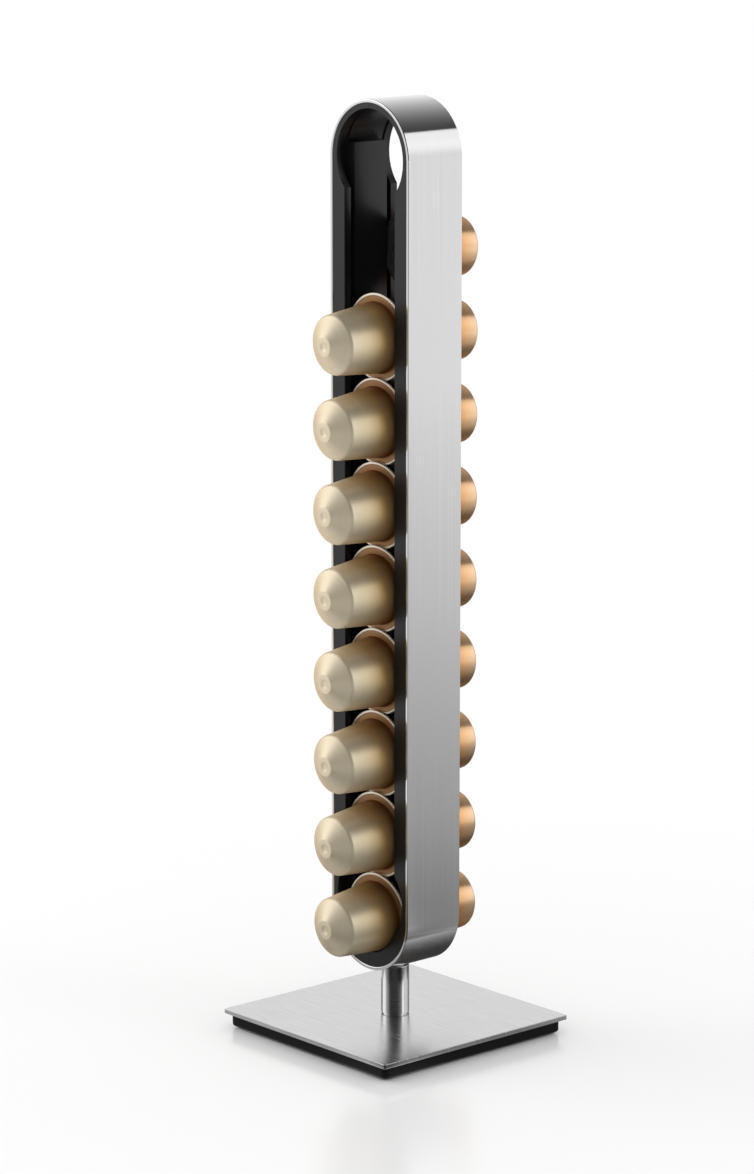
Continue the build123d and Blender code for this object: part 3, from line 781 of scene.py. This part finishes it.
studio = {
    "dome": 0.9, "behind": (-0.7485, 0.6631, 0), "ahead": (0.7485, -0.6631, 0),
    "cameraDim": 0.04, "cameraSpread": (0.03, 0.8),  # the wall round the camera
    "panel": 0.22, "panelTowards": (0.745, 0.667, 0), "panelSpread": (0.3, 0.8), "panelRise": (0.0, 0.4),
    "glow": 0.2, "glowTowards": (0.553, 0.808, 0.2), "glowSpread": (0.965, 0.988),
    "ceilingLine": 0.58, "ceilingEdge": 0.015, "ceilingDark": 0.05,
    "backDrop": 0.3, "backDropSpread": (0.1, 0.7),  # how much lower the ceiling begins behind
    "ceilings": [  # as a mirror sees it, and as a mirror in a mirror does
        {"towards": (-0.7485, 0.6631, 0), "glow": 1.03, "curve": 1.86},
        {"towards": (0.745, 0.667, 0), "glow": 2.5, "curve": 5.0},
    ],
}
world = bpy.data.worlds.new("softStudio")
scene.world = world
world.use_nodes = True
tree = world.node_tree
tree.nodes.clear()
ray, sharpRay = mirrorRays(tree)
looking = addNode(tree, "ShaderNodeTexCoord").outputs["Generated"]
up = addNode(tree, "ShaderNodeSeparateXYZ", {0: looking}).outputs["Z"]
dimmed = facingLevel(tree, looking, studio["ahead"], studio["cameraSpread"], 1.0, studio["cameraDim"])
panel = facingLevel(tree, looking, studio["panelTowards"], studio["panelSpread"], 0.0, studio["panel"])
stripLight = facingLevel(tree, looking, studio["glowTowards"], studio["glowSpread"], 0.0, studio["glow"])
lowered = facingLevel(tree, looking, studio["behind"], studio["backDropSpread"], 0.0, studio["backDrop"])
raised = addNode(tree, "ShaderNodeMapRange", {
    "Value": up, "From Min": studio["panelRise"][0], "From Max": studio["panelRise"][1],
}, interpolation_type="SMOOTHSTEP")
lit = addNode(tree, "ShaderNodeMath", {0: dimmed, 1: stripLight}, operation="ADD")
walls = addNode(tree, "ShaderNodeMath", {
    0: panel, 1: raised.outputs["Result"], 2: lit.outputs[0],
}, operation="MULTIPLY_ADD")
ceilings = []
for ceiling in studio["ceilings"]:
    facing = addNode(tree, "ShaderNodeVectorMath", {
        0: looking, 1: ceiling["towards"],
    }, operation="DOT_PRODUCT")
    forward = addNode(tree, "ShaderNodeMath", {0: facing.outputs["Value"], 1: 0.0}, operation="MAXIMUM")
    curved = addNode(tree, "ShaderNodeMath", {0: forward.outputs[0], 1: ceiling["curve"]}, operation="POWER")
    ceilings.append(addNode(tree, "ShaderNodeMath", {
        0: curved.outputs[0], 1: ceiling["glow"], 2: studio["ceilingDark"],
    }, operation="MULTIPLY_ADD").outputs[0])
ceilingSeen = addNode(tree, "ShaderNodeMapRange", {
    "Value": ray["Glossy Depth"], "From Min": 1.0, "From Max": 2.0,
    "To Min": ceilings[0], "To Max": ceilings[1],
})
levelled = addNode(tree, "ShaderNodeMath", {0: up, 1: lowered}, operation="ADD")
overLine = addNode(tree, "ShaderNodeMapRange", {
    "Value": levelled.outputs[0], "From Min": studio["ceilingLine"] - studio["ceilingEdge"] / 2,
    "From Max": studio["ceilingLine"] + studio["ceilingEdge"] / 2,
})
reflected = addNode(tree, "ShaderNodeMix", {
    "Factor": overLine.outputs["Result"], 6: walls.outputs[0], 7: ceilingSeen.outputs["Result"],
}, data_type="RGBA")
level = addNode(tree, "ShaderNodeMix", {
    "Factor": sharpRay, 6: [studio["dome"]] * 3 + [1], 7: reflected.outputs[2],
}, data_type="RGBA")
toCamera = addNode(tree, "ShaderNodeMix", {
    "Factor": ray["Is Camera Ray"], 6: level.outputs[2], 7: (1, 1, 1, 1),
}, data_type="RGBA")
sky = addNode(tree, "ShaderNodeBackground", {"Color": toCamera.outputs[2], "Strength": 1.0})
addNode(tree, "ShaderNodeOutputWorld", {"Surface": sky.outputs["Background"]})

lampAim = Vector((0, 0, 0.2))  # metres, the middle of the tower
lamps = {  # direction from the object, distance and size in metres, watts
    "leftSoftbox": {"from": (-0.735, -0.48, 0.479), "distance": 1.3, "size": (0.9, 1.2), "power": 3.2},
    "rightSoftbox": {"from": (0.86, 0.4, 0.32), "distance": 1.3, "size": (0.35, 0.8), "power": 1.2},
}
for name, lamp in lamps.items():
    light = bpy.data.lights.new(name, "AREA")
    light.shape = "RECTANGLE"
    light.size, light.size_y = lamp["size"]
    light.energy = lamp["power"]
    softbox = addObject(name, light)
    direction = Vector(lamp["from"]).normalized()
    softbox.location = direction * lamp["distance"] + lampAim
    softbox.rotation_mode = "QUATERNION"
    softbox.rotation_quaternion = direction.to_track_quat("Z", "Y")

scene.view_settings.view_transform = "Standard"
print("camera, floor and light set")
